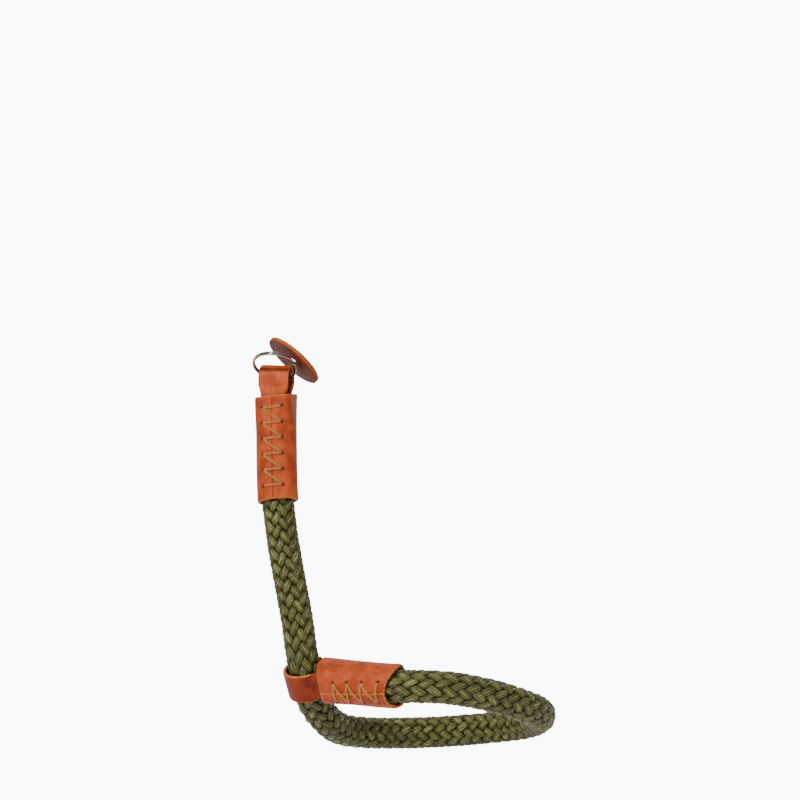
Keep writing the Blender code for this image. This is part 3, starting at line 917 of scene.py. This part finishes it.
def folded_strip(name, axis, width, fold_radius, mouth, shape, leg, curl_ease, leather_tint):
    """A strip folded over a bar, with both legs held against the inside of a sleeve's mouth."""
    inset = LEATHER + STRIP_GAP
    mouth_gap = shape[0] - LEATHER / 2 - inset
    leave = atan2(mouth_gap, mouth) + acos(fold_radius / hypot(mouth, mouth_gap))
    leave_along = fold_radius * cos(leave)
    slope = (mouth_gap - fold_radius * sin(leave)) / (mouth - leave_along)
    front_leg = []
    for i in range(LEG_ROWS):
        along = mouth + leg + (leave_along - mouth - leg) * i / LEG_ROWS
        half, corner = sleeve_section(shape, along - mouth)
        to_mouth = mouth - along
        easing = (to_mouth + sqrt(to_mouth**2 + LEG_EASE**2)) / 2
        front_leg.append((along, half - inset - slope * easing, half - inset, corner - inset))
    stations = list(front_leg)
    for i in range(FOLD_ROWS + 1):
        angle = leave + 2 * (pi - leave) * i / FOLD_ROWS
        stations.append((fold_radius * cos(angle), fold_radius * sin(angle), None, None))
    stations += [(along, -across, half, corner) for along, across, half, corner in reversed(front_leg)]
    columns = STRIP_COLUMNS + 1
    places = []
    for along, across, half, corner in stations:
        for i in range(columns):
            side = width * (i / STRIP_COLUMNS - 0.5)
            drop = 0.0
            past_flat = abs(side) - (half - corner) if half else 0.0
            if past_flat > 0:
                towards_mouth = min(max((along - leave_along) / (mouth - leave_along), LEAST_CURL), 1)
                curl = max(towards_mouth**curl_ease, LEAST_CURL) / corner
                side = (half - corner + sin(curl * past_flat) / curl) * (1 if side > 0 else -1)
                drop = (1 - cos(curl * past_flat)) / curl
            places.append((along, across - (drop if across > 0 else -drop), side))
    centre = axis.place(*np.array(places).T).reshape(len(stations), columns, 3)
    normal = np.cross(np.gradient(centre, axis=0), np.gradient(centre, axis=1))
    normal /= np.linalg.norm(normal, axis=2)[..., None]
    column = np.arange(columns)
    to_rim = np.minimum(column, STRIP_COLUMNS - column) * width / STRIP_COLUMNS
    thinned = LEATHER * STRIP_THINNING * np.clip(1 - to_rim / RIM_ROUND, 0, 1) ** 2
    lift = normal * (LEATHER / 2 - thinned)[None, :, None]
    faces, rim = sheet_faces(len(stations), columns)
    face_marks = RIM_PALENESS * np.tile(np.clip(1 - to_rim / STRIP_PALE_WIDTH, 0, 1), len(stations))
    edge = np.concatenate([face_marks, face_marks, np.ones(2 * len(rim))])
    top = (centre + lift).reshape(-1, 3)
    under = (centre - lift).reshape(-1, 3)
    return leather_sheet(name, top, under, faces, rim, {"edge": edge}, leather_tint)


fold_edge = TAB_WIDTH / 2 + abs(TAB_OFF_RING)
fold_reach = (RING_RADIUS - sqrt(RING_RADIUS**2 - fold_edge**2)) / 2 + RING_WIRE_WIDTH / 2
tab_radius = hypot(fold_reach, RING_WIRE_HEIGHT + RING_TURN_GAP / 2) + FOLD_GAP + LEATHER / 2
tab_piece = folded_strip(
    "ring_tab_leather",
    upper_axis,
    TAB_WIDTH,
    tab_radius,
    UPPER_MOUTH,
    upper_shape,
    UPPER_LEG,
    TAB_CURL_EASE,
    tan_leather,
)
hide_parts("ring_tab")
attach(tab_piece, "strap")


# Lower sleeve: the same rolled sheet round the rope's other end, laced in front below its middle.
# Its mouth holds the sliding loop, and it lies level across the front of the noose.
LOWER_MOUTH = 0.0066
LOWER_LENGTH = 0.0341
LOWER_MOUTH_HALF = 0.0078
LOWER_STRIP_BEND = 0.0020
LOWER_ROPE_GAP = 0.0009
LOWER_LEG = 0.010
LOWER_ROLL = radians(25)
LOWER_RAW_SEAM = 0.0003
LOWER_BOWS = (0.0030, 0.0032)
LOWER_SEAM_SHIFTS = (-0.0012, 0.0015)
LOWER_HOLE_REACH = 0.0042
LOWER_FIRST_HOLE = 0.0147
LOWER_HOLE_PITCH = 0.0075
LOWER_HOLE_PAIRS = 4
LOWER_HOLES = tuple(LOWER_FIRST_HOLE + LOWER_HOLE_PITCH * i for i in range(LOWER_HOLE_PAIRS))

along_lower = -Vector(strap_line.heading(np.array(strap_line.length)))
level_front = Vector((along_lower.y, -along_lower.x, 0)).normalized()
lower_side = cos(LOWER_ROLL) * Vector((0, 0, 1)) + sin(LOWER_ROLL) * level_front
lower_axis = SleeveAxis(strap_line, lower_side, from_end=True)
lower_shape = (LOWER_MOUTH_HALF, LOWER_STRIP_BEND, LOWER_ROPE_GAP)
lower = Sleeve(
    lower_axis,
    mouth=LOWER_MOUTH,
    length=LOWER_LENGTH,
    shape=lower_shape,
    holes=LOWER_HOLES,
    hole_reach=LOWER_HOLE_REACH,
    seam_shifts=LOWER_SEAM_SHIFTS,
    bows=LOWER_BOWS,
    slant=0.0,
    raw_seam=LOWER_RAW_SEAM,
)
lower_piece = lower.sheet("lower_sleeve_leather", tan_leather)
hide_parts("lower_sleeve")
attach(lower_piece, "strap")

lower_lacing = lacing("lower_lacing", lower, stitches_between(LOWER_HOLES, LOWER_HOLE_REACH, 1))
lower_lacing.data.materials.append(thread_finish)
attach(lower_lacing, "strap")


# Sliding loop: a strip of leather in darker colours than the sleeves, folded round the hanging rope, which
# runs through it as the noose is drawn tight. Both its legs are tucked in the lower sleeve's mouth.
LOOP_WIDTH = 0.0112
LOOP_SLACK = 0.0010
LOOP_CURL_EASE = 1.0

band_leather = dyed_leather(
    "band_leather", colour(92, 24, 2), colour(116, 36, 4), colour(132, 46, 8), RAW_EDGE, 0.4
)
loop_radius = ROPE_DIAMETER / 2 + LOOP_SLACK + LEATHER / 2
loop_piece = folded_strip(
    "sliding_loop_leather",
    lower_axis,
    LOOP_WIDTH,
    loop_radius,
    LOWER_MOUTH,
    lower_shape,
    LOWER_LEG,
    LOOP_CURL_EASE,
    band_leather,
)
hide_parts("sliding_loop")
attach(loop_piece, "strap")


# Studio: pale paper that sweeps up behind the strap, a large soft light above on the left,
# a wide fill on the right, a top light and pale surroundings.
FLOOR_HEIGHT = -0.19
FLOOR_FRONT = -3.0
BACK_DISTANCE = 0.9
BACK_HEIGHT = 3.0
SWEEP_RADIUS = 0.5
SWEEP_STEPS = 24
STAGE_HALF_WIDTH = 3.0
BACKGROUND_GLOW = 9.0
STRAP_MIDDLE = (0.04, 0.0, -0.08)
SKY_BELOW = 0.3
SKY_STRENGTH = 0.35

sweep_front = BACK_DISTANCE - SWEEP_RADIUS
profile = [(FLOOR_FRONT, FLOOR_HEIGHT), (sweep_front, FLOOR_HEIGHT)]
for step in range(1, SWEEP_STEPS + 1):
    turn = step / SWEEP_STEPS * pi / 2
    profile.append((sweep_front + SWEEP_RADIUS * sin(turn), FLOOR_HEIGHT + SWEEP_RADIUS * (1 - cos(turn))))
profile.append((BACK_DISTANCE, BACK_HEIGHT))
floor_points = [(x, y, z) for y, z in profile for x in (-STAGE_HALF_WIDTH, STAGE_HALF_WIDTH)]
floor = new_piece("floor", floor_points, grid_faces(len(profile), 2))


def pale_paper():
    """Matt white background paper that looks brighter than it lights the strap."""
    made, shader, add, join = new_material("pale_paper")
    place = add("TexCoord").outputs["Object"]
    tooth = add("TexNoise", {"Vector": place, "Scale": 60.0, "Detail": 2.0})
    tint = ramp(add, tooth.outputs["Fac"], (0.3, colour(243, 243, 242)), (0.7, colour(248, 248, 247)))
    join(tint, "Base Color")
    shader.inputs["Roughness"].default_value = 0.9
    seen = add("LightPath").outputs["Is Camera Ray"]
    glow = add("Math", {0: seen, 1: BACKGROUND_GLOW}, operation="MULTIPLY").outputs[0]
    join(glow, "Emission Strength")
    shader.inputs["Emission Color"].default_value = (1, 1, 1, 1)
    return made


floor.data.materials.append(pale_paper())


def soft_light(name, place, towards, size, power):
    """A round soft lamp at a place, facing a point."""
    data = bpy.data.lights.new(name, "AREA")
    data.shape = "DISK"
    data.size = size
    data.energy = power
    lamp = bpy.data.objects.new(name, data)
    bpy.context.scene.collection.objects.link(lamp)
    lamp.location = place
    lamp.rotation_euler = (Vector(towards) - Vector(place)).to_track_quat("-Z", "Y").to_euler()


soft_light("key_light", (-0.5, -0.9, 0.75), STRAP_MIDDLE, 0.22, 24)
soft_light("fill_light", (0.9, -0.8, 0.3), STRAP_MIDDLE, 0.6, 4)
soft_light("top_light", (0.1, 0.1, 1.1), STRAP_MIDDLE, 0.7, 4)

surroundings = bpy.data.worlds.new("surroundings")
surroundings.use_nodes = True
world_nodes, world_links = surroundings.node_tree.nodes, surroundings.node_tree.links
sky_place = world_nodes.new("ShaderNodeTexCoord")
sky_parts = world_nodes.new("ShaderNodeSeparateXYZ")
sky_ramp = world_nodes.new("ShaderNodeValToRGB")
world_links.new(sky_place.outputs["Generated"], sky_parts.inputs["Vector"])
world_links.new(sky_parts.outputs["Z"], sky_ramp.inputs["Fac"])
world_links.new(sky_ramp.outputs["Color"], world_nodes["Background"].inputs["Color"])
sky_ramp.color_ramp.elements[0].color = (SKY_BELOW, SKY_BELOW, SKY_BELOW, 1)
sky_ramp.color_ramp.elements[1].color = (1.0, 1.0, 1.0, 1)
world_nodes["Background"].inputs["Strength"].default_value = SKY_STRENGTH
bpy.context.scene.world = surroundings
